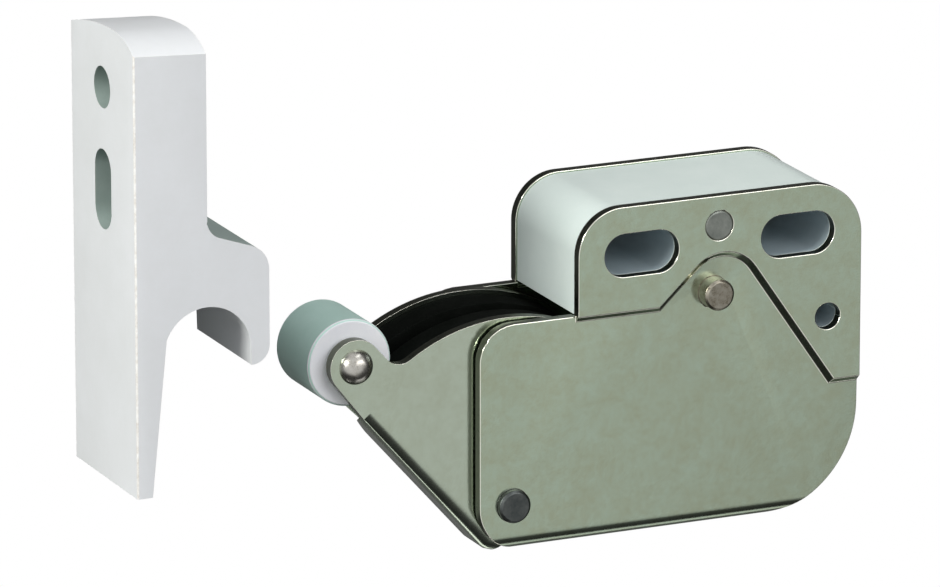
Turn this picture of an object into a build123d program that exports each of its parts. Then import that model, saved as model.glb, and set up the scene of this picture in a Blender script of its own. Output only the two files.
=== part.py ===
"""Spring latch: a push-in door catch with a roller arm, and its keeper.

Frame: +X to the right, +Y towards the panel that the latch is screwed to, +Z up, millimetres.
The origin lies midway between the two screw slots, on the back mounting face. All of the latch
is in front of that face, at negative Y. Sketch points are (x, z) pairs.
"""

import os
from math import acos, atan2, cos, degrees, hypot, radians, sin, sqrt, tan

from build123d import *

os.makedirs("parts", exist_ok=True)

# Housing: one folded steel sheet
sheet = 1.2
case_depth = 17.1
joggle = 0.7
joggle_width = 0.6
case_left = -16.4
case_right = 16.6
case_top = 5.25
case_bottom = -30.9
nose_left = -27.4
nose_top = -6.2
top_left_radius = 5.0
top_right_radius = 5.8
nose_top_radius = 3.9
nose_bottom_radius = 4.9
tail_radius = 11.5
bend_inner = 0.4

# Line below which the walls lie deeper than the raised part above it
step_low_x = -6.75
step_low_z = -6.75
step_rise_deg = 43.0
step_fall_deg = 55.4
step_tail_x = 13.2
step_tail_z = -17.0
step_peak_radius = 4.0

# Screw slots and the third screw hole
slot_spacing = 18.2
slot_length = 8.6
slot_radius = 2.35
spare_hole_x = 12.7
spare_hole_z = -9.4
spare_hole_radius = 1.45

# White spacer block between the raised parts of the walls
block_inset = 0.2
block_lift = 0.55

# Pins and rivet of the housing
pivot_x = -23.6
pivot_z = -25.95
pivot_radius = 1.8
pivot_proud = 0.8
catch_x = -0.5
catch_z = -5.3
catch_radius = 1.7
catch_proud = 1.9
rivet_x = -0.1
rivet_z = 2.0
rivet_radius = 1.62
pin_foot = 0.4
end_chamfer = 0.25
rivet_chamfer = 0.12
running_fit = 0.05

# Arm: one folded sheet that swings on the pivot pin
arm_sheet = 1.2
arm_gap = 0.4
arm_top_gap = 1.0
axle_beyond = 3.91
arm_rest_deg = 135.7
arm_web_deg = 131.5
arm_travel_deg = 46.0
lobe_radius = 2.9
neck_radius = 2.0
flank_deg = 60.0
flank_radius = 3.0
floor_gap = 0.35
stop_gap = 0.3
web_step = 0.25
web_heel = 3.2
web_room = 0.65
web_notch = 6.0
web_ear = 3.0
arm_bend_inner = 0.35

# Roller and its axle
roller_radius = 4.7
roller_gap = 0.75
roller_shift = 0.25
roller_chamfer = 0.25
axle_radius = 1.5
axle_head_radius = 1.9
axle_head_height = 1.35

# Return spring round the pivot pin
spring_wire = 1.0
spring_inner = 2.15
spring_turns = 3
spring_pitch = 1.3
floor_leg = 8.0
web_leg = 10.0

# Cam halves between the cheeks of the arm
cam_top_gap = 0.5
cam_pocket = 5.4
cam_web_gap = 1.9
cam_flank_gap = 0.6
cam_slot = 2.6
roller_room = 0.5
groove_depth = 1.6
groove_slack = 0.15
return_lane_reach = 12.4
cam_rivet_radius = 0.8
cam_rivet_reach = 9.3
cam_rivet_degs = (68.0, 100.0)

# Pawl, its pin and the sleeves that keep it central
pawl_sheet = 2.0
pawl_width = 2.8
pawl_travel_deg = 5.98
elbow_drop_x = 7.6
elbow_drop_z = 5.65
follower_radius = 0.8
follower_reach = 16.8
follower_deg = 74.0
follower_end_gap = 0.2
hub_radius = 2.7
sleeve_wall = 0.7
sleeve_slack = 0.1

# Keeper: one white moulding that stands apart
keeper_left = -66.3
keeper_foot = -19.7
keeper_shoulder = 27.2
keeper_crown = 1.65
keeper_crest_run = 3.0
keeper_top_deg = 3.2
keeper_depth = 17.0
keeper_plate = 8.0
keeper_reach = 14.85
foot_thickness = 1.7
tip_thickness = 2.1
tip_drop = 1.9
pocket_radius = 4.85
pocket_z = -4.9
throat_deg = 158.0
hook_top = 7.6
hook_slope_deg = 19.0
hook_corner = 2.8
hook_fillet = 2.0
hook_back_inset = 2.4
keeper_hole_z = 22.1
keeper_hole_radius = 2.2
keeper_slot_z = 11.3
keeper_slot_length = 8.5
keeper_slot_radius = 2.2

# Worked out from the sizes above
mid = case_depth / 2
wall_half = mid - joggle
inner_half = wall_half - sheet
arm_half = inner_half - arm_gap
cheek_half = arm_half - arm_sheet
mid_plane = Plane.XZ.offset(mid)


def polar(radius, angle_deg):
    """A point at this radius and angle from the pivot pin."""
    angle = radians(angle_deg)
    return (pivot_x + radius * cos(angle), pivot_z + radius * sin(angle))


def beside_web(run, out):
    """A point run along the arm's web from its heel to its tip, and out from the pivot pin."""
    angle = radians(arm_web_deg)
    x = pivot_x + run * cos(angle) - out * sin(angle)
    z = pivot_z + run * sin(angle) + out * cos(angle)
    return (x, z)


def beside_flank(run, out):
    """A point along the arm's hidden right edge, and out from the pivot pin."""
    angle = radians(flank_deg)
    x = pivot_x + run * cos(angle) + out * sin(angle)
    z = pivot_z + run * sin(angle) - out * cos(angle)
    return (x, z)


def turned(point, centre, angle_deg):
    """The point turned anticlockwise in the front view."""
    angle = radians(angle_deg)
    x = point[0] - centre[0]
    z = point[1] - centre[1]
    return (centre[0] + x * cos(angle) - z * sin(angle), centre[1] + x * sin(angle) + z * cos(angle))


pivot = (pivot_x, pivot_z)
catch = (catch_x, catch_z)
# The cheeks' round top passes below the spacer block's lower left corner, and the axle lies beyond it
block_corner = (case_left + block_inset, step_low_z + block_lift)
arm_top_radius = hypot(block_corner[0] - pivot_x, block_corner[1] - pivot_z) - arm_top_gap
arm_reach = arm_top_radius + axle_beyond
axle = polar(arm_reach, arm_rest_deg)
axle_lean = arm_reach * sin(radians(arm_rest_deg - arm_web_deg))
web_out = axle_lean + lobe_radius + web_step
web_in = web_out - arm_sheet
axle_run = arm_reach * cos(radians(arm_rest_deg - arm_web_deg))
web_end = axle_run - sqrt(roller_radius**2 - (web_in - axle_lean) ** 2) - web_room
boss_radius = pivot_z - case_bottom - sheet - floor_gap
heel_corner = beside_web(-web_heel, web_in)
floor_left = heel_corner[0] + stop_gap
floor_right = case_right - tail_radius
far = 2 * arm_reach

# The pressed line's two slopes meet above the catch pin
rise = tan(radians(step_rise_deg))
fall = tan(radians(step_fall_deg))
peak_run = ((step_tail_x - step_low_x) * fall + step_tail_z - step_low_z) / (rise + fall)
peak = (step_low_x + peak_run, step_low_z + peak_run * rise)


def step_line(lift):
    """The pressed line's points from left to right, lifted by an amount."""
    return [
        (step_low_x, step_low_z + lift),
        (peak[0], peak[1] + lift),
        (step_tail_x, step_tail_z + lift),
    ]


def raised_outline(inset, lift):
    """Outline of the raised part, shared by the walls and the spacer block."""
    left = case_left + inset
    right = case_right - inset
    top = case_top - inset
    line = step_line(lift)
    with BuildSketch() as outline:
        with BuildLine():
            Polyline(
                (left, step_low_z + lift),
                *line,
                (right, step_tail_z + lift),
                (right, top),
                (left, top),
                close=True,
            )
        make_face()
        fillet(vertices().sort_by_distance((left, top))[0], top_left_radius - inset)
        fillet(vertices().sort_by_distance((right, top))[0], top_right_radius - inset)
        fillet(vertices().sort_by_distance(line[1])[0], step_peak_radius)
    return outline.sketch


def screw_slots():
    """The two mounting slots and the third hole."""
    with BuildSketch() as slots:
        with Locations((-slot_spacing / 2, 0), (slot_spacing / 2, 0)):
            SlotOverall(slot_length, 2 * slot_radius)
        with Locations((spare_hole_x, spare_hole_z)):
            Circle(spare_hole_radius)
    return slots.sketch


# Housing: a U folded along its bottom, with the upper part of both walls pressed outwards
with BuildPart() as housing:
    with BuildSketch(Plane.YZ.offset(nose_left)):
        with Locations((-mid, case_bottom)):
            Rectangle(2 * wall_half, case_top - case_bottom, align=(Align.CENTER, Align.MIN))
        fillet(vertices().group_by(Axis.Y)[0], bend_inner + sheet)
        with BuildSketch(mode=Mode.PRIVATE) as channel_gap:
            with Locations((-mid, case_bottom + sheet)):
                Rectangle(2 * inner_half, case_top - case_bottom, align=(Align.CENTER, Align.MIN))
            fillet(vertices().group_by(Axis.Y)[0], bend_inner)
        add(channel_gap, mode=Mode.SUBTRACT)
    extrude(amount=case_right - nose_left)
    # Outline of the walls below the pressed line, with the nose that the arm comes out of
    with BuildSketch(Plane.XZ):
        with BuildLine():
            Polyline(
                (nose_left, case_bottom),
                (case_right, case_bottom),
                (case_right, step_tail_z),
                *reversed(step_line(0)),
                (case_left, step_low_z),
                (case_left, nose_top),
                (nose_left, nose_top),
                close=True,
            )
        make_face()
        fillet(vertices().sort_by_distance((nose_left, case_bottom))[0], nose_bottom_radius)
        fillet(vertices().sort_by_distance((case_right, case_bottom))[0], tail_radius)
        fillet(vertices().sort_by_distance((nose_left, nose_top))[0], nose_top_radius)
        fillet(vertices().sort_by_distance(peak)[0], step_peak_radius)
    extrude(amount=case_depth, mode=Mode.INTERSECT)
    # The bottom web runs only from the arm's heel to the tail curve
    with BuildSketch(mid_plane):
        for end, side in ((floor_left, Align.MAX), (floor_right, Align.MIN)):
            with Locations((end, case_bottom)):
                Rectangle(far, 2 * (sheet + bend_inner), align=(side, Align.CENTER))
    extrude(amount=inner_half, both=True, mode=Mode.SUBTRACT)
    # Raised part of each wall
    with BuildSketch(Plane.XZ, Plane.XZ.offset(case_depth - sheet)):
        add(raised_outline(0, 0))
    extrude(amount=sheet)
    for outer_face in (faces().sort_by(Axis.Y)[0], faces().sort_by(Axis.Y)[-1]):
        step_edges = outer_face.outer_wire().edges().filter_by(
            lambda edge: case_left < edge.center().X < case_right and edge.center().Z < peak[1]
        )
        chamfer(step_edges, joggle_width)
    with BuildSketch(Plane.XZ):
        add(screw_slots())
        with Locations(pivot):
            Circle(pivot_radius)
        with Locations(catch):
            Circle(catch_radius)
        with Locations((rivet_x, rivet_z)):
            Circle(rivet_radius)
    extrude(amount=case_depth, mode=Mode.SUBTRACT)
housing.part.label = "housing"
export_step(housing.part, "parts/housing.step")


# Spacer block: fills the raised part between the walls and carries the screws
with BuildPart() as spacer_block:
    with BuildSketch(Plane.XZ.offset(sheet)):
        add(raised_outline(block_inset, block_lift))
    extrude(amount=case_depth - 2 * sheet)
    with BuildSketch(Plane.XZ):
        add(screw_slots())
        with Locations((rivet_x, rivet_z)):
            Circle(rivet_radius)
    extrude(amount=case_depth, mode=Mode.SUBTRACT)
spacer_block.part.label = "spacer_block"
export_step(spacer_block.part, "parts/spacer_block.step")


def pin(centre, radius, back, front, chamfer_size):
    """A round pin along Y, from one depth to another in front of the mounting face."""
    with BuildPart() as shank:
        with BuildSketch(Plane.XZ.offset(back)):
            with Locations(centre):
                Circle(radius)
        extrude(amount=front - back)
        chamfer(edges().filter_by(GeomType.CIRCLE), chamfer_size)
    return shank.part


# Pins: their feet stay within the depth of the pressed step, clear of the mounting face
wall_front = case_depth - joggle
pins = {
    "spacer_rivet": pin((rivet_x, rivet_z), rivet_radius, 0, case_depth, rivet_chamfer),
    "pivot_pin": pin(pivot, pivot_radius, joggle - pin_foot, wall_front + pivot_proud, end_chamfer),
    "catch_pin": pin(catch, catch_radius, joggle - pin_foot, wall_front + catch_proud, end_chamfer),
}
for name, solid in pins.items():
    solid.label = name
    export_step(solid, f"parts/{name}.step")


# Arm: two cheeks and a web, folded from one sheet
bend = arm_bend_inner + arm_sheet
web_plane = Plane(origin=(pivot_x, -mid, pivot_z), x_dir=(0, 1, 0),
                  z_dir=(cos(radians(arm_web_deg)), 0, sin(radians(arm_web_deg))))
with BuildPart() as arm:
    with BuildSketch(mid_plane):
        # Fan-shaped cheek round the pivot
        with BuildLine():
            Polyline(
                beside_web(-web_heel, web_out),
                beside_web(far, web_out),
                beside_flank(far, boss_radius),
                beside_flank(0, boss_radius),
                pivot,
                (heel_corner[0], pivot_z),
                heel_corner,
                close=True,
            )
        make_face()
        with BuildSketch(mode=Mode.PRIVATE) as fan:
            with Locations(pivot):
                Circle(arm_top_radius)
        add(fan, mode=Mode.INTERSECT)
        fillet(vertices().sort_by(Axis.X)[-1], flank_radius)
        # Beyond the web the cheek is cut back to the strap that ends in the lobe
        with BuildLine():
            Polyline(
                beside_web(web_end, web_out - web_step),
                beside_web(web_end, far),
                beside_web(far, far),
                beside_web(far, web_out - web_step),
                close=True,
            )
        make_face(mode=Mode.SUBTRACT)
        with BuildLine():
            Polyline(
                beside_web(0, axle_lean - lobe_radius),
                beside_web(0, axle_lean + lobe_radius),
                beside_web(axle_run, axle_lean + lobe_radius),
                beside_web(axle_run, axle_lean - lobe_radius),
                close=True,
            )
        make_face()
        with Locations(axle):
            Circle(lobe_radius)
        neck = beside_web(sqrt(arm_top_radius**2 - (axle_lean - lobe_radius) ** 2), axle_lean - lobe_radius)
        fillet(vertices().sort_by_distance(neck)[0], neck_radius)
        with Locations(pivot):
            Circle(boss_radius)
    extrude(amount=arm_half, both=True)
    # Space between the cheeks
    with BuildSketch(web_plane.offset(-far)):
        Rectangle(2 * cheek_half, 2 * web_in)
        with Locations((0, -far)):
            Rectangle(2 * cheek_half, 2 * far)
        fillet(vertices().group_by(Axis.Y)[-1], arm_bend_inner)
    extrude(amount=2 * far, mode=Mode.SUBTRACT)
    # The bends' outer rounding runs as far as the web does
    with BuildSketch(web_plane.offset(web_end)):
        for side in (-1, 1):
            with Locations((side * arm_half, web_out)):
                Rectangle(2 * bend, 2 * bend)
        with Locations((0, web_out - bend)):
            Rectangle(2 * (arm_half - bend), 4 * bend, mode=Mode.SUBTRACT)
        for side in (-1, 1):
            with Locations((side * (arm_half - bend), web_out - bend)):
                Circle(bend, mode=Mode.SUBTRACT)
    extrude(amount=-far, mode=Mode.SUBTRACT)
    # The web stops short of the roller, with a round notch between its two ears
    notch_half = arm_half - web_ear
    with BuildSketch(Plane(origin=(pivot_x, -mid, pivot_z), x_dir=web_plane.z_dir, z_dir=web_plane.y_dir)):
        with Locations((web_end - web_notch + notch_half, 0)):
            Circle(notch_half)
            Rectangle(far, 2 * notch_half, align=(Align.MIN, Align.CENTER))
        with Locations((web_end, 0)):
            Rectangle(far, 2 * cheek_half, align=(Align.MIN, Align.CENTER))
    extrude(amount=far, mode=Mode.SUBTRACT)
    with BuildSketch(mid_plane):
        with Locations(pivot):
            Circle(pivot_radius + running_fit)
        with Locations(axle):
            Circle(axle_radius)
        with Locations([polar(cam_rivet_reach, angle) for angle in cam_rivet_degs]):
            Circle(cam_rivet_radius)
    extrude(amount=arm_half, both=True, mode=Mode.SUBTRACT)
arm.part.label = "arm"
export_step(arm.part, "parts/arm.step")


# Axle: a shank with a domed head outside each cheek
with BuildPart() as roller_axle:
    with BuildSketch(Plane((axle[0], -mid, axle[1]), x_dir=(1, 0, 0), z_dir=(0, 0, 1))):
        dome = (axle_head_radius**2 + axle_head_height**2) / (2 * axle_head_height)
        with BuildLine():
            Line((0, 0), (0, arm_half + axle_head_height))
            RadiusArc((0, arm_half + axle_head_height), (axle_head_radius, arm_half), dome)
            Polyline((axle_head_radius, arm_half), (axle_radius, arm_half), (axle_radius, 0), (0, 0))
        make_face()
    revolve(axis=Axis((axle[0], -mid, axle[1]), (0, 1, 0)))
    mirror(about=mid_plane)
roller_axle.part.label = "roller_axle"
export_step(roller_axle.part, "parts/roller_axle.step")


# Roller: turned from white plastic, free on the axle and lying a little to the front
with BuildPart() as roller:
    with BuildSketch(mid_plane.offset(roller_shift)):
        with Locations(axle):
            Circle(roller_radius)
            Circle(axle_radius + running_fit, mode=Mode.SUBTRACT)
    extrude(amount=cheek_half - roller_gap, both=True)
    rims = edges().filter_by(lambda edge: edge.length > roller_radius * 6)
    chamfer(rims, roller_chamfer)
roller.part.label = "roller"
export_step(roller.part, "parts/roller.step")


def leg_tilt(leg, reach):
    """The angle at which a leg, tangent to the coil, comes to this distance from the coil's axis."""
    return degrees(atan2(leg, coil_radius) - acos(reach / hypot(leg, coil_radius)))


# Return spring: coiled round the pivot pin, one leg on the housing's floor, one on the arm's web
coil_radius = spring_inner + spring_wire / 2
floor_tilt = leg_tilt(floor_leg, pivot_z - case_bottom - sheet - spring_wire / 2)
web_tilt = leg_tilt(web_leg, web_in - spring_wire / 2)
coil_start_deg = -90 - floor_tilt
coil_end_deg = arm_web_deg + 90 + web_tilt - 360
coil_length = spring_pitch * (spring_turns + (coil_start_deg - coil_end_deg) / 360)
coil_plane = Plane(
    origin=(pivot_x, -mid - coil_length / 2, pivot_z),
    x_dir=(cos(radians(coil_start_deg)), 0, sin(radians(coil_start_deg))),
    z_dir=(0, 1, 0),
)
coil = coil_plane * Helix(spring_pitch, coil_length, coil_radius)
with BuildPart() as return_spring:
    with BuildSketch(Plane(origin=coil @ 0, x_dir=(0, 1, 0), z_dir=coil % 0)):
        RegularPolygon(spring_wire / 2, 6)
    sweep(path=coil, is_frenet=True)
    ends = faces().filter_by(GeomType.PLANE).sort_by(Axis.Y)
    extrude(ends[0], amount=floor_leg)
    extrude(ends[-1], amount=web_leg)
return_spring.part.label = "return_spring"
export_step(return_spring.part, "parts/return_spring.step")


# Track of the follower pin in the arm, found by turning the pawl and the arm together
follower = polar(follower_reach, follower_deg)


def track_point(share):
    """Where the follower pin lies in the resting arm after this share of the arm's travel."""
    place = turned(follower, catch, share * pawl_travel_deg)
    return turned(place, pivot, share * arm_travel_deg)


track = [track_point(0), track_point(0.5), track_point(1)]
return_lane = [track[2], polar(return_lane_reach, follower_deg + arm_travel_deg / 2), track[0]]

# Cam halves: dark mouldings between the cheeks, with the follower's looped groove in their faces
for name, side in (("cam_front", 1), ("cam_back", -1)):
    face_plane = mid_plane.offset(side * cam_slot / 2)
    with BuildPart() as cam:
        with BuildSketch(face_plane):
            with BuildLine():
                Polyline(
                    beside_web(0, web_in - cam_web_gap),
                    beside_web(far, web_in - cam_web_gap),
                    beside_flank(far, boss_radius - cam_flank_gap),
                    beside_flank(0, boss_radius - cam_flank_gap),
                    close=True,
                )
            make_face()
            with BuildSketch(mode=Mode.PRIVATE) as rim:
                with Locations(pivot):
                    Circle(arm_top_radius - cam_top_gap)
                    Circle(cam_pocket, mode=Mode.SUBTRACT)
                with Locations(axle):
                    Circle(roller_radius + roller_room, mode=Mode.SUBTRACT)
            add(rim, mode=Mode.INTERSECT)
            fillet(vertices().sort_by(Axis.X)[-1], flank_radius - cam_flank_gap)
            with Locations([polar(cam_rivet_reach, angle) for angle in cam_rivet_degs]):
                Circle(cam_rivet_radius, mode=Mode.SUBTRACT)
        extrude(amount=side * (cheek_half - cam_slot / 2))
        with BuildSketch(face_plane):
            for lane in (track, return_lane):
                with BuildLine() as centre_line:
                    ThreePointArc(*lane)
                trace(centre_line.edges(), 2 * (follower_radius + groove_slack))
            with Locations(track[0], track[2]):
                Circle(follower_radius + 2 * groove_slack)
        extrude(amount=side * groove_depth, mode=Mode.SUBTRACT)
    cam.part.label = name
    export_step(cam.part, f"parts/{name}.step")


# Rivets that hold the cam halves between the cheeks
with BuildPart() as cam_rivets:
    with BuildSketch(mid_plane):
        with Locations([polar(cam_rivet_reach, angle) for angle in cam_rivet_degs]):
            Circle(cam_rivet_radius)
    extrude(amount=arm_half, both=True)
cam_rivets.part.label = "cam_rivets"
export_step(cam_rivets.part, "parts/cam_rivets.step")


# Pawl: a bent lever that dips under the spacer block
with BuildPart() as pawl:
    elbow = (catch_x - elbow_drop_x, catch_z - elbow_drop_z)
    with BuildSketch(mid_plane):
        with BuildLine() as spine:
            Polyline(catch, elbow, follower)
        trace(spine.edges(), pawl_width)
        with Locations(elbow, follower):
            Circle(pawl_width / 2)
        with Locations(catch):
            Circle(hub_radius)
            Circle(catch_radius + running_fit, mode=Mode.SUBTRACT)
        with Locations(follower):
            Circle(follower_radius, mode=Mode.SUBTRACT)
    extrude(amount=pawl_sheet / 2, both=True)
pawl.part.label = "pawl"
export_step(pawl.part, "parts/pawl.step")


# Follower pin: pressed through the pawl's end, it runs in both grooves
with BuildPart() as follower_pin:
    with BuildSketch(mid_plane):
        with Locations(follower):
            Circle(follower_radius)
    extrude(amount=cam_slot / 2 + groove_depth - follower_end_gap, both=True)
follower_pin.part.label = "follower_pin"
export_step(follower_pin.part, "parts/follower_pin.step")


# Sleeves on the catch pin, one on each side of the pawl
for name, side in (("catch_sleeve_front", 1), ("catch_sleeve_back", -1)):
    with BuildPart() as sleeve:
        with BuildSketch(mid_plane.offset(side * inner_half)):
            with Locations(catch):
                Circle(catch_radius + running_fit + sleeve_wall)
                Circle(catch_radius + running_fit, mode=Mode.SUBTRACT)
        extrude(amount=-side * (inner_half - pawl_sheet / 2 - sleeve_slack))
    sleeve.part.label = name
    export_step(sleeve.part, f"parts/{name}.step")


# Keeper: a plate with a hook, whose round pocket drops over the roller
keeper_right = keeper_left + keeper_reach
plate_right = keeper_left + keeper_plate
pocket_x = keeper_right - tip_thickness - pocket_radius
hook_fall = keeper_reach - keeper_plate
hook_edge = hook_top - hook_fall * tan(radians(hook_slope_deg))
tip_z = pocket_z - tip_drop
throat = (
    pocket_x + pocket_radius * cos(radians(throat_deg)),
    pocket_z + pocket_radius * sin(radians(throat_deg)),
)
top_fall = Vector(cos(radians(keeper_top_deg)), 0, -sin(radians(keeper_top_deg)))
with BuildPart() as keeper:
    with BuildSketch(mid_plane):
        with BuildLine():
            Polyline(
                throat,
                (keeper_left + foot_thickness, keeper_foot),
                (keeper_left, keeper_foot),
                (keeper_left, keeper_shoulder + keeper_crown),
                (plate_right, keeper_shoulder + keeper_crown),
                (plate_right, hook_top),
                (keeper_right, hook_edge),
                (keeper_right, tip_z),
                (pocket_x + pocket_radius, tip_z),
                (pocket_x + pocket_radius, pocket_z),
            )
            CenterArc((pocket_x, pocket_z), pocket_radius, 0, throat_deg)
        make_face()
        fillet(vertices().sort_by_distance((plate_right, hook_top))[0], hook_fillet)
        fillet(vertices().sort_by_distance((keeper_right, hook_edge))[0], hook_corner)
        fillet(vertices().sort_by_distance((keeper_right, tip_z))[0], 0.95 * tip_thickness)
    extrude(amount=keeper_depth / 2, both=True)
    # The top is an arch from back to front, highest in front of the middle and falling towards the hook
    with BuildSketch(Plane.YZ.offset(keeper_left)):
        crest = (-mid - keeper_crest_run, keeper_shoulder + keeper_crown)
        with BuildLine():
            for side in (-1, 1):
                shoulder = (-mid + side * keeper_depth / 2, keeper_shoulder)
                run = abs(shoulder[0] - crest[0])
                RadiusArc(shoulder, crest, -side * (run**2 + keeper_crown**2) / (2 * keeper_crown))
                Line(shoulder, (shoulder[0], keeper_foot))
            Line((-mid - keeper_depth / 2, keeper_foot), (-mid + keeper_depth / 2, keeper_foot))
        make_face()
    extrude(amount=2 * keeper_reach, dir=top_fall, mode=Mode.INTERSECT)
    # The hook is a little narrower than the plate at the back
    with BuildSketch(Plane.XZ.offset(mid - keeper_depth / 2)):
        with Locations((plate_right, keeper_foot)):
            Rectangle(keeper_reach, keeper_shoulder - keeper_foot, align=(Align.MIN, Align.MIN))
    extrude(amount=hook_back_inset, mode=Mode.SUBTRACT)
    with BuildSketch(Plane.YZ.offset(keeper_left)):
        with Locations((-mid, keeper_hole_z)):
            Circle(keeper_hole_radius)
        with Locations((-mid, keeper_slot_z)):
            SlotOverall(keeper_slot_length, 2 * keeper_slot_radius, rotation=90)
    extrude(amount=keeper_reach, mode=Mode.SUBTRACT)
keeper.part.label = "keeper"
export_step(keeper.part, "parts/keeper.step")
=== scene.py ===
"""The spring latch and its keeper as they look in the product photograph's view.

Sizes and places are in millimetres, and MM turns them into metres. Those of the lights and the
floor's size are in metres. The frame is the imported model's: +X to the right, +Y away from the
viewer towards the panel that the latch is screwed to, +Z up.
"""

from math import cos, pi, radians, sin, sqrt

import bmesh
import bpy
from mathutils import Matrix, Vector


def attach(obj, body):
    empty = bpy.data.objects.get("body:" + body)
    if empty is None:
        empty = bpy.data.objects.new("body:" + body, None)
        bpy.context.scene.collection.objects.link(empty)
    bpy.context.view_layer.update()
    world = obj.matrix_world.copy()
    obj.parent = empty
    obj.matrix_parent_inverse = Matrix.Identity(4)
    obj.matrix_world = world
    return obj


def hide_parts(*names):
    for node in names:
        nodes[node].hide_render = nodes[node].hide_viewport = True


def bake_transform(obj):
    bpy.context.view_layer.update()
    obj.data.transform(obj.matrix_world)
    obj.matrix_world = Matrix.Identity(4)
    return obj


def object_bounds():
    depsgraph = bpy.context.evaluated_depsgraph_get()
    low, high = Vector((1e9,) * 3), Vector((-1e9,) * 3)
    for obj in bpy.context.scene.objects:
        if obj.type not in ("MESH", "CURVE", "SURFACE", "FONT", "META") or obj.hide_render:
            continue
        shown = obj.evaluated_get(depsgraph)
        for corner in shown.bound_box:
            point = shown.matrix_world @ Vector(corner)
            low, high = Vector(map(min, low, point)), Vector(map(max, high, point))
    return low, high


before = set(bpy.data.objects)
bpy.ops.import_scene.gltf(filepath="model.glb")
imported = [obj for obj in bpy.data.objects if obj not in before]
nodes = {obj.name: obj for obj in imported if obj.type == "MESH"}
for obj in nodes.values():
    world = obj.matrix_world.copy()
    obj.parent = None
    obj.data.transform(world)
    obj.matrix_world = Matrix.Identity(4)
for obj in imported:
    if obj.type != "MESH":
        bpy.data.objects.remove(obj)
cad_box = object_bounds()
MM = 0.001


# View: the product is photographed from the left and a little above, from nearly a metre away,
# with a long lens that keeps its edges almost parallel.
VIEW_AZIMUTH = radians(-24.296)
VIEW_ELEVATION = radians(15.906)
VIEW_DISTANCE = 934.76 * MM
VIEW_AIM = Vector((-26.28, -11.38, -3.82)) * MM
SENSOR_WIDTH = 36.0
LENS = 342.3

camera_data = bpy.data.cameras.new("photo_camera")
camera_data.sensor_width = SENSOR_WIDTH
camera_data.lens = LENS
camera = bpy.data.objects.new("photo_camera", camera_data)
bpy.context.scene.collection.objects.link(camera)
back = Vector((
    sin(VIEW_AZIMUTH) * cos(VIEW_ELEVATION),
    -cos(VIEW_AZIMUTH) * cos(VIEW_ELEVATION),
    sin(VIEW_ELEVATION),
))
camera.location = VIEW_AIM + VIEW_DISTANCE * back
camera.rotation_euler = (-back).to_track_quat("-Z", "Y").to_euler()
bpy.context.scene.camera = camera
bpy.context.scene.view_settings.view_transform = "Standard"


# Room: plain white to the camera. To the latch it is bright in front, above and at the left, as in
# a studio, and dim behind and below. Shades are given from the dark side to the light side.
ROOM_LIGHT_SIDE = (-0.35, -0.8, 0.48)
ROOM_SHADES = (
    (0.0, 0.16), (0.08, 0.14), (0.28, 0.08), (0.38, 0.02),
    (0.6, 0.06), (0.66, 0.3), (0.7, 0.78), (1.0, 0.85),
)
WHITE = (1.0, 1.0, 1.0)


def join_sockets(tree, *links):
    """Joins sockets in a node tree. A link names a node and its output, then a node and its input."""
    for source, output, target, entry in links:
        tree.links.new(source.outputs[output], target.inputs[entry])


world = bpy.data.worlds.new("white_room")
world.use_nodes = True
room = world.node_tree
room_light = room.nodes["Background"]
room_direction = room.nodes.new("ShaderNodeTexCoord")
room_side = room.nodes.new("ShaderNodeVectorMath")
room_side.operation = "DOT_PRODUCT"
room_side.inputs[1].default_value = ROOM_LIGHT_SIDE
room_range = room.nodes.new("ShaderNodeMapRange")
room_range.inputs["From Min"].default_value = -1.0
room_ramp = room.nodes.new("ShaderNodeValToRGB")
while len(room_ramp.color_ramp.elements) < len(ROOM_SHADES):
    room_ramp.color_ramp.elements.new(0.5)
for stop, (position, shade) in zip(room_ramp.color_ramp.elements, ROOM_SHADES):
    stop.position = position
    stop.color = (shade, shade, shade, 1.0)
room_seen = room.nodes.new("ShaderNodeBackground")
room_seen.inputs["Color"].default_value = (*WHITE, 1.0)
room_rays = room.nodes.new("ShaderNodeLightPath")
room_mix = room.nodes.new("ShaderNodeMixShader")
join_sockets(
    room,
    (room_direction, "Generated", room_side, 0),
    (room_side, "Value", room_range, "Value"),
    (room_range, "Result", room_ramp, "Fac"),
    (room_ramp, "Color", room_light, "Color"),
    (room_rays, "Is Camera Ray", room_mix, "Fac"),
    (room_light, "Background", room_mix, 1),
    (room_seen, "Background", room_mix, 2),
    (room_mix, "Shader", room.nodes["World Output"], "Surface"),
)
bpy.context.scene.world = world


# Lights: a strong softbox at the left, a weak one in front and a strip overhead. The two weak
# lights below only show where something mirrors them, such as the steel's edges.
def softbox(name, place, size, power, colour=WHITE, mirrored_only=False):
    """An area light at a place relative to the view's aim, in metres, facing the aim."""
    light = bpy.data.lights.new(name, "AREA")
    light.shape = "RECTANGLE"
    light.size, light.size_y = size
    light.energy = power
    light.color = colour
    box = bpy.data.objects.new(name, light)
    box.location = VIEW_AIM + Vector(place)
    box.rotation_euler = (-Vector(place)).to_track_quat("-Z", "Y").to_euler()
    box.visible_diffuse = not mirrored_only
    bpy.context.scene.collection.objects.link(box)


softbox("left_softbox", place=(-0.8, -0.15, 0.38), size=(0.3, 0.3), power=5.8, colour=(1.0, 1.0, 0.95))
softbox("front_softbox", place=(0.2, -0.5, 0.25), size=(0.4, 0.3), power=1.0, colour=(1.0, 0.99, 1.0))
softbox("overhead_strip", place=(0.3, -0.3, 0.9), size=(0.5, 0.12), power=0.6, colour=(0.97, 0.99, 1.0))
softbox(
    "under_strip", place=(-0.1, 0.35, -0.85), size=(0.5, 0.25), power=0.6, colour=(1.0, 1.0, 0.97),
    mirrored_only=True,
)
softbox("under_front", place=(0.4, -0.1, -0.87), size=(0.3, 0.6), power=0.42, mirrored_only=True)


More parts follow.
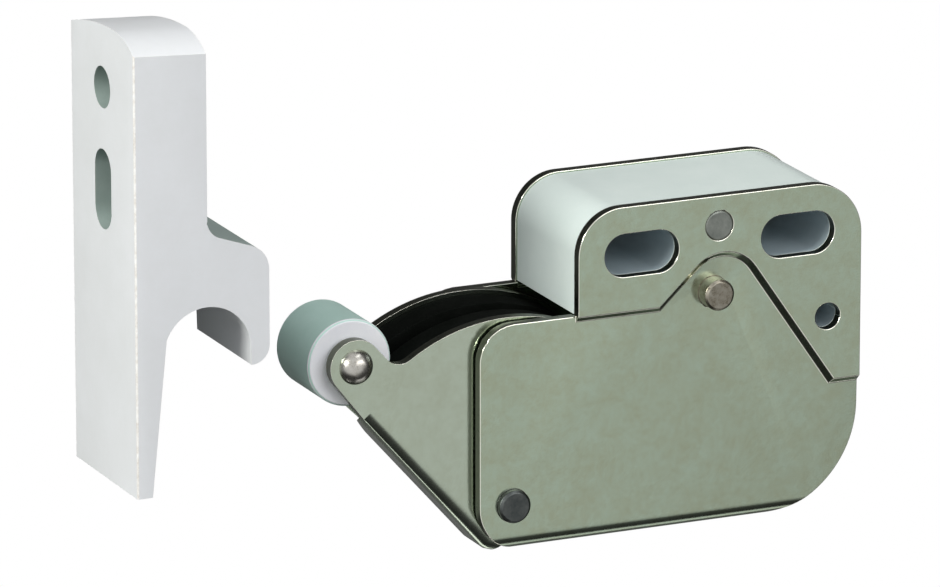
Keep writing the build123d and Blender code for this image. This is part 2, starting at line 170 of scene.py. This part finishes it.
# Floor: a dull dark sheet well below the latch, so that no light comes up from it. The camera sees
# it as white, and sees through it from below.
FLOOR_SIZE = 1.6
FLOOR_DROP = 60 * MM
FLOOR_SHADE = (0.03, 0.035, 0.03, 1.0)
FLOOR_ROUGHNESS = 0.9


def new_material(name):
    """A node material and its Principled shader."""
    material = bpy.data.materials.new(name)
    material.use_nodes = True
    return material, material.node_tree.nodes["Principled BSDF"]


floor_material, floor_shader = new_material("floor_white")
floor_shader.inputs["Base Color"].default_value = FLOOR_SHADE
floor_shader.inputs["Roughness"].default_value = FLOOR_ROUGHNESS
floor_shader.inputs["Specular IOR Level"].default_value = 0.0
floor_tree = floor_material.node_tree
floor_seen = floor_tree.nodes.new("ShaderNodeEmission")
floor_rays = floor_tree.nodes.new("ShaderNodeLightPath")
floor_mix = floor_tree.nodes.new("ShaderNodeMixShader")
floor_side = floor_tree.nodes.new("ShaderNodeNewGeometry")
floor_clear = floor_tree.nodes.new("ShaderNodeBsdfTransparent")
floor_under = floor_tree.nodes.new("ShaderNodeMixShader")
join_sockets(
    floor_tree,
    (floor_rays, "Is Camera Ray", floor_mix, "Fac"),
    (floor_shader, "BSDF", floor_mix, 1),
    (floor_seen, "Emission", floor_mix, 2),
    (floor_side, "Backfacing", floor_under, "Fac"),
    (floor_mix, "Shader", floor_under, 1),
    (floor_clear, "BSDF", floor_under, 2),
    (floor_under, "Shader", floor_tree.nodes["Material Output"], "Surface"),
)
floor_mesh = bpy.data.meshes.new("floor")
floor_bm = bmesh.new()
bmesh.ops.create_grid(floor_bm, x_segments=1, y_segments=1, size=FLOOR_SIZE)
bmesh.ops.translate(floor_bm, verts=floor_bm.verts, vec=(0, 0, cad_box[0][2] - FLOOR_DROP))
floor_bm.to_mesh(floor_mesh)
floor_bm.free()
floor = bpy.data.objects.new("floor", floor_mesh)
floor.data.materials.append(floor_material)
floor.visible_glossy = False
floor.visible_shadow = False
bpy.context.scene.collection.objects.link(floor)


# Housing: one sheet of steel, nickel-plated, sheared and folded to a U. The upper part of each wall
# is pressed outwards round the block, and the screws go through it into the panel.
SHEET = 1.2
CUT_TILT = 0.35
CUT_SLACK = 0.06
WELD = 0.002 * MM
SLIVER = 0.11 * MM
FLAT_ANGLE = radians(0.6)
SHARP_ANGLE = radians(28)
EDGE_FINISH = 1
# The finish for painted shade: the dark cut faces, the darker bores and the shadow on the keeper's ledge.
PAINTED_SHADE_FINISH = 2
BLOTCH_DETAIL = 8.0
BLOTCH_ROUGHNESS = 0.8
BLOTCH_SPAN = (0.35, 0.65)
GRAIN_DETAIL = 2.0
GRAIN_DEPTH = 0.02 * MM


def new_group(name, inputs, outputs):
    """A shader node group with named inputs and outputs, and its input and output nodes."""
    group = bpy.data.node_groups.new(name, "ShaderNodeTree")
    for title, kind in inputs:
        group.interface.new_socket(title, in_out="INPUT", socket_type="NodeSocket" + kind)
    for title, kind in outputs:
        group.interface.new_socket(title, in_out="OUTPUT", socket_type="NodeSocket" + kind)
    return group, group.nodes.new("NodeGroupInput"), group.nodes.new("NodeGroupOutput")


blotches, blotch_in, blotch_out = new_group(
    "soft_blotches",
    inputs=(
        ("Scale", "Float"), ("Low Colour", "Color"), ("High Colour", "Color"),
        ("Low Roughness", "Float"), ("High Roughness", "Float"),
    ),
    outputs=(("Color", "Color"), ("Roughness", "Float")),
)
blotch_place = blotches.nodes.new("ShaderNodeTexCoord")
blotch_noise = blotches.nodes.new("ShaderNodeTexNoise")
blotch_noise.inputs["Detail"].default_value = BLOTCH_DETAIL
blotch_noise.inputs["Roughness"].default_value = BLOTCH_ROUGHNESS
blotch_range = blotches.nodes.new("ShaderNodeMapRange")
blotch_range.inputs["From Min"].default_value = BLOTCH_SPAN[0]
blotch_range.inputs["From Max"].default_value = BLOTCH_SPAN[1]
blotch_mix = blotches.nodes.new("ShaderNodeMix")
blotch_mix.data_type = "RGBA"
blotch_rough = blotches.nodes.new("ShaderNodeMix")
join_sockets(
    blotches,
    (blotch_place, "Object", blotch_noise, "Vector"),
    (blotch_in, "Scale", blotch_noise, "Scale"),
    (blotch_noise, "Fac", blotch_range, "Value"),
    (blotch_range, "Result", blotch_mix, "Factor"),
    (blotch_in, "Low Colour", blotch_mix, "A"),
    (blotch_in, "High Colour", blotch_mix, "B"),
    (blotch_mix, "Result", blotch_out, "Color"),
    (blotch_range, "Result", blotch_rough, "Factor"),
    (blotch_in, "Low Roughness", blotch_rough, "A"),
    (blotch_in, "High Roughness", blotch_rough, "B"),
    (blotch_rough, "Result", blotch_out, "Roughness"),
)

grain, grain_in, grain_out = new_group(
    "fine_grain",
    inputs=(("Scale", "Float"), ("Strength", "Float"), ("Depth", "Float")),
    outputs=(("Normal", "Vector"),),
)
grain_place = grain.nodes.new("ShaderNodeTexCoord")
grain_noise = grain.nodes.new("ShaderNodeTexNoise")
grain_noise.inputs["Detail"].default_value = GRAIN_DETAIL
grain_bump = grain.nodes.new("ShaderNodeBump")
join_sockets(
    grain,
    (grain_place, "Object", grain_noise, "Vector"),
    (grain_in, "Scale", grain_noise, "Scale"),
    (grain_noise, "Fac", grain_bump, "Height"),
    (grain_in, "Strength", grain_bump, "Strength"),
    (grain_in, "Depth", grain_bump, "Distance"),
    (grain_bump, "Normal", grain_out, "Normal"),
)


def finish(
    name, low, high, roughness, blotch_scale, grain_scale, grain_strength,
    grain_depth=GRAIN_DEPTH, metallic=0.0,
):
    """A finish with soft blotches of colour and gloss, and a fine grain."""
    material, shader = new_material(name)
    tree = material.node_tree
    patches = tree.nodes.new("ShaderNodeGroup")
    patches.node_tree = blotches
    patches.inputs["Scale"].default_value = blotch_scale
    patches.inputs["Low Colour"].default_value = (*low, 1.0)
    patches.inputs["High Colour"].default_value = (*high, 1.0)
    patches.inputs["Low Roughness"].default_value = roughness[0]
    patches.inputs["High Roughness"].default_value = roughness[1]
    surface = tree.nodes.new("ShaderNodeGroup")
    surface.node_tree = grain
    surface.inputs["Scale"].default_value = grain_scale
    surface.inputs["Strength"].default_value = grain_strength
    surface.inputs["Depth"].default_value = grain_depth
    join_sockets(
        tree,
        (patches, "Color", shader, "Base Color"),
        (patches, "Roughness", shader, "Roughness"),
        (surface, "Normal", shader, "Normal"),
    )
    shader.inputs["Metallic"].default_value = metallic
    return material


plating = finish(
    "nickel_plating", low=(0.4, 0.45, 0.325), high=(0.445, 0.54, 0.425), roughness=(0.15, 0.18),
    blotch_scale=400.0, grain_scale=9000.0, grain_strength=0.3, metallic=1.0,
)
# Painted highlight: the sheet's rounded edges take a much brighter, glossier copy of the plated steel, so
# that they show as bright lines.
painted_edge_highlight = finish(
    "painted_edge_highlight", low=(0.85, 0.85, 0.7), high=(0.98, 0.98, 0.9), roughness=(0.1, 0.15),
    blotch_scale=900.0, grain_scale=9000.0, grain_strength=0.2, metallic=1.0,
)
# Painted shade: the sheet's cut faces take a very dark copy of the steel, so that they show as dark lines.
painted_cut_shade = finish(
    "painted_cut_shade", low=(0.1, 0.11, 0.08), high=(0.16, 0.17, 0.13), roughness=(0.25, 0.4),
    blotch_scale=900.0, grain_scale=9000.0, grain_strength=0.3, metallic=1.0,
)


def cuts_painted_shade(bm):
    """Gives the sheet's cut faces, which run square through it, the finish of painted shade."""
    for face in bm.faces:
        depths = [vert.co.y / MM for vert in face.verts]
        if abs(face.normal.y) < CUT_TILT and abs(max(depths) - min(depths) - SHEET) < CUT_SLACK:
            face.material_index = PAINTED_SHADE_FINISH


def merged(node):
    """A bmesh of a CAD node with its loose triangles joined up."""
    bm = bmesh.new()
    bm.from_mesh(nodes[node].data)
    bmesh.ops.remove_doubles(bm, verts=bm.verts, dist=WELD)
    return bm


def put_in_place(bm, node, name, finishes, sharp_angle):
    """The piece that a bmesh makes, smooth up to an angle. It takes the CAD node's place."""
    for face in bm.faces:
        face.smooth = True
    for edge in bm.edges:
        edge.smooth = edge.calc_face_angle(pi) < sharp_angle
    mesh = bpy.data.meshes.new(name)
    bm.to_mesh(mesh)
    bm.free()
    piece = bpy.data.objects.new(name, mesh)
    for material in finishes:
        piece.data.materials.append(material)
    bpy.context.scene.collection.objects.link(piece)
    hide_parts(node)
    return piece


def edge_rounded(node, name, body, finishes, radius, segments=3, reshape=None):
    """A copy of a CAD node with a small radius, in millimetres, on its sharp edges.

    The finishes are that of its faces, of its edges and of the faces that the reshape picks out. The edges'
    finish is a painted highlight on the housing, the arm and the keeper, and the third finish is painted
    shade.
    """
    bm = merged(node)
    bmesh.ops.dissolve_degenerate(bm, edges=bm.edges, dist=SLIVER)
    bmesh.ops.dissolve_limit(bm, angle_limit=FLAT_ANGLE, verts=bm.verts, edges=bm.edges)
    if reshape:
        reshape(bm)
    piece = put_in_place(bm, node, name, finishes, SHARP_ANGLE)
    rounding = piece.modifiers.new("edge_radius", "BEVEL")
    rounding.width = radius * MM
    rounding.segments = segments
    rounding.limit_method = "ANGLE"
    rounding.angle_limit = SHARP_ANGLE
    rounding.harden_normals = True
    rounding.material = min(EDGE_FINISH, len(finishes) - 1)
    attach(piece, body)


edge_rounded(
    "housing", "housing_sheet", "frame", (plating, painted_edge_highlight, painted_cut_shade),
    radius=0.16, reshape=cuts_painted_shade,
)


# Spacer block: a solid white moulding with a blue-green cast that keeps the walls apart. A rivet
# holds it, and two slots and a round hole for the screws go straight through it.
LEFT_SLOT_BOX = ((-14.0, -3.0), (-4.0, 3.0))
RIGHT_SLOT_BOX = ((4.0, -3.0), (14.0, 3.0))
THIRD_HOLE_BOX = ((11.0, -11.2), (14.4, -7.6))
BORE_TILT = 0.5

block_plastic = finish(
    "block_plastic", low=(0.74, 0.84, 0.81), high=(0.79, 0.88, 0.85), roughness=(0.45, 0.55),
    blotch_scale=90.0, grain_scale=5000.0, grain_strength=0.2,
)
# Painted shade: the insides of the slots and of the round hole are painted a darker blue-grey.
slot_painted_shade = finish(
    "slot_painted_shade", low=(0.4, 0.49, 0.53), high=(0.46, 0.55, 0.59), roughness=(0.45, 0.55),
    blotch_scale=200.0, grain_scale=5000.0, grain_strength=0.2,
)


def bores_painted_shade(axis, boxes):
    """A reshape that gives the faces of bores along an axis the finish of painted shade.

    A bore's faces lie inside a box, which is its low and high corner in the other two coordinates.
    """
    across = [index for index in range(3) if index != axis]

    def pick(bm):
        for face in bm.faces:
            corners = [[vert.co[index] / MM for index in across] for vert in face.verts]
            inside = any(
                all(low[0] < corner[0] < high[0] and low[1] < corner[1] < high[1] for corner in corners)
                for low, high in boxes
            )
            if inside and abs(face.normal[axis]) < BORE_TILT:
                face.material_index = PAINTED_SHADE_FINISH

    return pick


edge_rounded(
    "spacer_block", "spacer_moulding", "frame",
    (block_plastic, block_plastic, slot_painted_shade),
    radius=0.12, reshape=bores_painted_shade(axis=1, boxes=(LEFT_SLOT_BOX, RIGHT_SLOT_BOX, THIRD_HOLE_BOX)),
)


# Pins and rivet: turned from bare steel and upset in the walls. The rivet is flush with the wall,
# the pivot pin's end is dark and dull, and the catch pin stands out and is worn.
pin_steel = finish(
    "pin_steel", low=(0.2, 0.22, 0.2), high=(0.31, 0.33, 0.3), roughness=(0.32, 0.5),
    blotch_scale=700.0, grain_scale=6000.0, grain_strength=0.3, metallic=1.0,
)
dull_steel = finish(
    "dull_steel", low=(0.06, 0.07, 0.07), high=(0.13, 0.14, 0.135), roughness=(0.3, 0.4),
    blotch_scale=900.0, grain_scale=6000.0, grain_strength=0.3, metallic=1.0,
)
worn_steel = finish(
    "worn_steel", low=(0.16, 0.14, 0.1), high=(0.42, 0.4, 0.34), roughness=(0.22, 0.4),
    blotch_scale=1100.0, grain_scale=6000.0, grain_strength=0.3, metallic=1.0,
)
for node, steel in (("spacer_rivet", pin_steel), ("pivot_pin", dull_steel), ("catch_pin", worn_steel)):
    edge_rounded(node, node + "_end", "frame", (steel,), radius=0.06, segments=2)


# Arm: folded from the same plated sheet, two cheeks that hold the roller and a web across them. It
# swings on the pivot pin. A place on the web is a run along it from the pivot, a distance out from
# the pivot and a depth behind the front cheek's outer face.
PIVOT_X = -23.6
PIVOT_Z = -25.95
ARM_FRONT_Y = -14.8
ARM_DEPTH = 12.5
WEB_ANGLE = radians(131.5)
WEB_OUT = 4.9
WEB_FOOT = 3.2
WEB_FOOT_RISE = 1.3
WEB_FLAT_DEPTH = 5.0
WEB_FRONT_LIFT = 0.3
WEB_BACK_DROP = 1.0
WEB_NOTCH_RUN = 12.9
WEB_END_RUN = 18.8
WEB_END_SLACK = 0.5
WEB_START_DEPTH = 1.0
WEB_CORNER_CUT = 3.5
WEB_BACK_CUT = 3.8
STRAP_FADE = (20.5, 23.5)
HEEL_RADIUS = 5.65
HEEL_CUTS = (-1.8, -2.5)

arm_plating = finish(
    "arm_plating", low=(0.44, 0.495, 0.39), high=(0.505, 0.58, 0.475), roughness=(0.15, 0.18),
    blotch_scale=300.0, grain_scale=9000.0, grain_strength=0.25, metallic=1.0,
)


def ramp(value, start, end):
    """How far a value lies from start to end, held between 0 and 1."""
    return min(1.0, max(0.0, (value - start) / (end - start)))


def backwards(depth):
    """How far behind the web's flat front stretch a depth lies, up to 1 at the arm's back."""
    return ramp(depth, WEB_FLAT_DEPTH, ARM_DEPTH)


def web_lift(run, depth):
    """How far the web's outer face stands out from the CAD's. It rounds the heel below the pivot."""
    heel = sqrt(HEEL_RADIUS**2 - min(0.0, run) ** 2) - WEB_OUT
    return min(heel, WEB_FRONT_LIFT) - (WEB_FRONT_LIFT + WEB_BACK_DROP) * backwards(depth)


def web_end(depth):
    """Where the web ends below the roller: a rounded corner at the front and a slant behind it."""
    corner = ramp(depth, SHEET, WEB_FLAT_DEPTH)
    return WEB_END_RUN - WEB_CORNER_CUT * corner**2 - WEB_BACK_CUT * backwards(depth)


def creased(bm, place, normal):
    """Adds edges where a plane, placed in millimetres, crosses the mesh. Nothing is cut away."""
    bmesh.ops.bisect_plane(
        bm, geom=bm.verts[:] + bm.edges[:] + bm.faces[:], plane_co=place * MM, plane_no=normal
    )


def web_reshaped(bm):
    """Draws the web out at the front and in at the back, rounds its heel and ends it on a slant."""
    along = Vector((cos(WEB_ANGLE), 0, sin(WEB_ANGLE)))
    creased(bm, Vector((0, ARM_FRONT_Y + WEB_FLAT_DEPTH, 0)), (0, 1, 0))
    for cut in HEEL_CUTS:
        creased(bm, Vector((PIVOT_X, 0, PIVOT_Z)) + cut * along, along)
    for vert in bm.verts:
        x = vert.co.x / MM - PIVOT_X
        z = vert.co.z / MM - PIVOT_Z
        depth = vert.co.y / MM - ARM_FRONT_Y
        run = x * cos(WEB_ANGLE) + z * sin(WEB_ANGLE)
        out = z * cos(WEB_ANGLE) - x * sin(WEB_ANGLE)
        share = ramp(out, WEB_FOOT, WEB_FOOT + WEB_FOOT_RISE) * (1 - ramp(run, *STRAP_FADE))
        if out > WEB_FOOT and depth > WEB_START_DEPTH and WEB_NOTCH_RUN < run < WEB_END_RUN + WEB_END_SLACK:
            run = web_end(depth)
        out += share * web_lift(run, depth)
        vert.co.x = (PIVOT_X + run * cos(WEB_ANGLE) - out * sin(WEB_ANGLE)) * MM
        vert.co.z = (PIVOT_Z + run * sin(WEB_ANGLE) + out * cos(WEB_ANGLE)) * MM
    bmesh.ops.dissolve_degenerate(bm, edges=bm.edges, dist=SLIVER)
    cuts_painted_shade(bm)


edge_rounded(
    "arm", "arm_sheet", "arm", (arm_plating, painted_edge_highlight, painted_cut_shade),
    radius=0.14, reshape=web_reshaped,
)


# Axle: a polished steel pin through the tips of the arm's cheeks, upset to a domed head at each
# end. The roller turns on it.
polished_steel = finish(
    "polished_steel", low=(0.36, 0.34, 0.3), high=(0.62, 0.61, 0.57), roughness=(0.24, 0.3),
    blotch_scale=500.0, grain_scale=4000.0, grain_strength=0.05, grain_depth=0.01 * MM, metallic=1.0,
)
edge_rounded(
    "roller_axle", "axle_heads", "arm", (polished_steel,), radius=0.05, segments=2
)


# Roller: turned from white plastic with a green cast, between the tips of the arm's cheeks. Its side is
# painted a darker green-grey than its whiter flat ends, partly for that cast and partly as painted shade.
END_TILT = 0.9

roller_plastic = finish(
    "roller_plastic", low=(0.57, 0.82, 0.74), high=(0.65, 0.88, 0.81), roughness=(0.35, 0.45),
    blotch_scale=120.0, grain_scale=3000.0, grain_strength=0.1,
)
roller_face = finish(
    "roller_face", low=(0.9, 0.92, 0.97), high=(0.96, 0.97, 1.0), roughness=(0.35, 0.45),
    blotch_scale=400.0, grain_scale=3000.0, grain_strength=0.1,
)


def ends_picked(bm):
    """Gives the roller's flat ends the same finish as its edges."""
    for face in bm.faces:
        if abs(face.normal.y) > END_TILT:
            face.material_index = EDGE_FINISH


edge_rounded(
    "roller", "roller_body", "roller", (roller_plastic, roller_face),
    radius=0.08, reshape=ends_picked,
)


# Cam halves and sleeves: matt black mouldings, painted near-black and almost without gloss, so that they
# are partly painted shade inside the arm. The halves are riveted between the arm's cheeks and lead the
# follower pin in their grooves, and the sleeves keep the pawl central on the catch pin.
BLACK_SPECULAR = 0.05

black_plastic_and_shade = finish(
    "black_plastic_and_shade", low=(0.002, 0.003, 0.002), high=(0.006, 0.007, 0.006), roughness=(0.8, 0.9),
    blotch_scale=300.0, grain_scale=3000.0, grain_strength=0.3, grain_depth=0.03 * MM,
)
black_plastic_and_shade.node_tree.nodes["Principled BSDF"].inputs["Specular IOR Level"].default_value = BLACK_SPECULAR


def coated(names, material):
    """Gives CAD nodes that keep their own mesh a finish."""
    for name in names:
        nodes[name].data.materials.clear()
        nodes[name].data.materials.append(material)


for node in ("cam_front", "cam_back"):
    edge_rounded(node, node + "_moulding", "arm", (black_plastic_and_shade,), radius=0.1, segments=2)
coated(("catch_sleeve_front", "catch_sleeve_back"), black_plastic_and_shade)


# Pawl, follower pin and cam rivets: bare steel inside the latch. The pawl hangs on the catch pin
# and carries the follower pin, and the rivets hold the cam halves to the arm's cheeks.
coated(("pawl", "follower_pin", "cam_rivets"), pin_steel)


# Return spring: steel wire coiled round the pivot pin. One leg lies on the housing's floor and the other
# pushes the arm's web, so the real coil twists when the arm swings; here the wire is drawn as at rest and
# does not move.
WIRE_SMOOTH_ANGLE = radians(40)


spring_bm = merged("return_spring")
spring = put_in_place(
    spring_bm, "return_spring", "spring_wire", (pin_steel,), WIRE_SMOOTH_ANGLE
)
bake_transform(spring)


# Keeper: one white moulding with a hook that drops over the roller. It is screwed to the door through a
# round hole and a slot. Its bores are painted darker as painted shade and its hook's upper ledge carries a
# painted shadow. Its edges are painted white with brownish specks as a painted highlight, widest on the
# long corners.
ROUND_HOLE_BOX = ((-11.2, 19.5), (-5.9, 24.7))
KEEPER_SLOT_BOX = ((-11.2, 6.0), (-5.9, 16.8))
LEDGE_LEFT = -58.0
LEDGE_TOP = 12.0
LEDGE_TILT = 0.3
LONG_EDGE = 20.0
PAINTED_HIGHLIGHT_WIDTH = 0.2

keeper_plastic = finish(
    "keeper_plastic", low=(0.79, 0.81, 0.83), high=(0.83, 0.85, 0.88), roughness=(0.4, 0.5),
    blotch_scale=60.0, grain_scale=3500.0, grain_strength=0.15,
)
# Painted shade: the bores, and the hook's upper ledge where the upright shades it, are painted a darker
# grey-green.
keeper_painted_shade = finish(
    "keeper_painted_shade", low=(0.36, 0.45, 0.42), high=(0.42, 0.51, 0.48), roughness=(0.4, 0.5),
    blotch_scale=200.0, grain_scale=3500.0, grain_strength=0.15,
)
# Painted highlight: the edges are painted white, with brownish specks, so that they show as bright lines.
keeper_edge_specks_and_highlight = finish(
    "keeper_edge_specks_and_highlight", low=(0.7, 0.66, 0.62), high=(1.0, 1.0, 1.0), roughness=(0.3, 0.4),
    blotch_scale=900.0, grain_scale=3500.0, grain_strength=0.15,
)


def keeper_detailed(bm):
    """Paints shade on the bores and a shadow on the hook's upper ledge, and rounds the long corners into
    lines painted bright.
    """
    bores_painted_shade(axis=0, boxes=(ROUND_HOLE_BOX, KEEPER_SLOT_BOX))(bm)
    for face in bm.faces:
        centre = face.calc_center_median() / MM
        if face.normal.z > LEDGE_TILT and centre.x > LEDGE_LEFT and centre.z < LEDGE_TOP:
            face.material_index = PAINTED_SHADE_FINISH
    corners = [
        edge for edge in bm.edges
        if edge.calc_length() > LONG_EDGE * MM and edge.calc_face_angle(pi) > SHARP_ANGLE
    ]
    bmesh.ops.bevel(
        bm, geom=corners, offset=PAINTED_HIGHLIGHT_WIDTH * MM, segments=4, profile=0.5, affect="EDGES",
        material=EDGE_FINISH, clamp_overlap=True,
    )


edge_rounded(
    "keeper", "keeper_moulding", "frame", (keeper_plastic, keeper_edge_specks_and_highlight, keeper_painted_shade),
    radius=0.16, reshape=keeper_detailed,
)
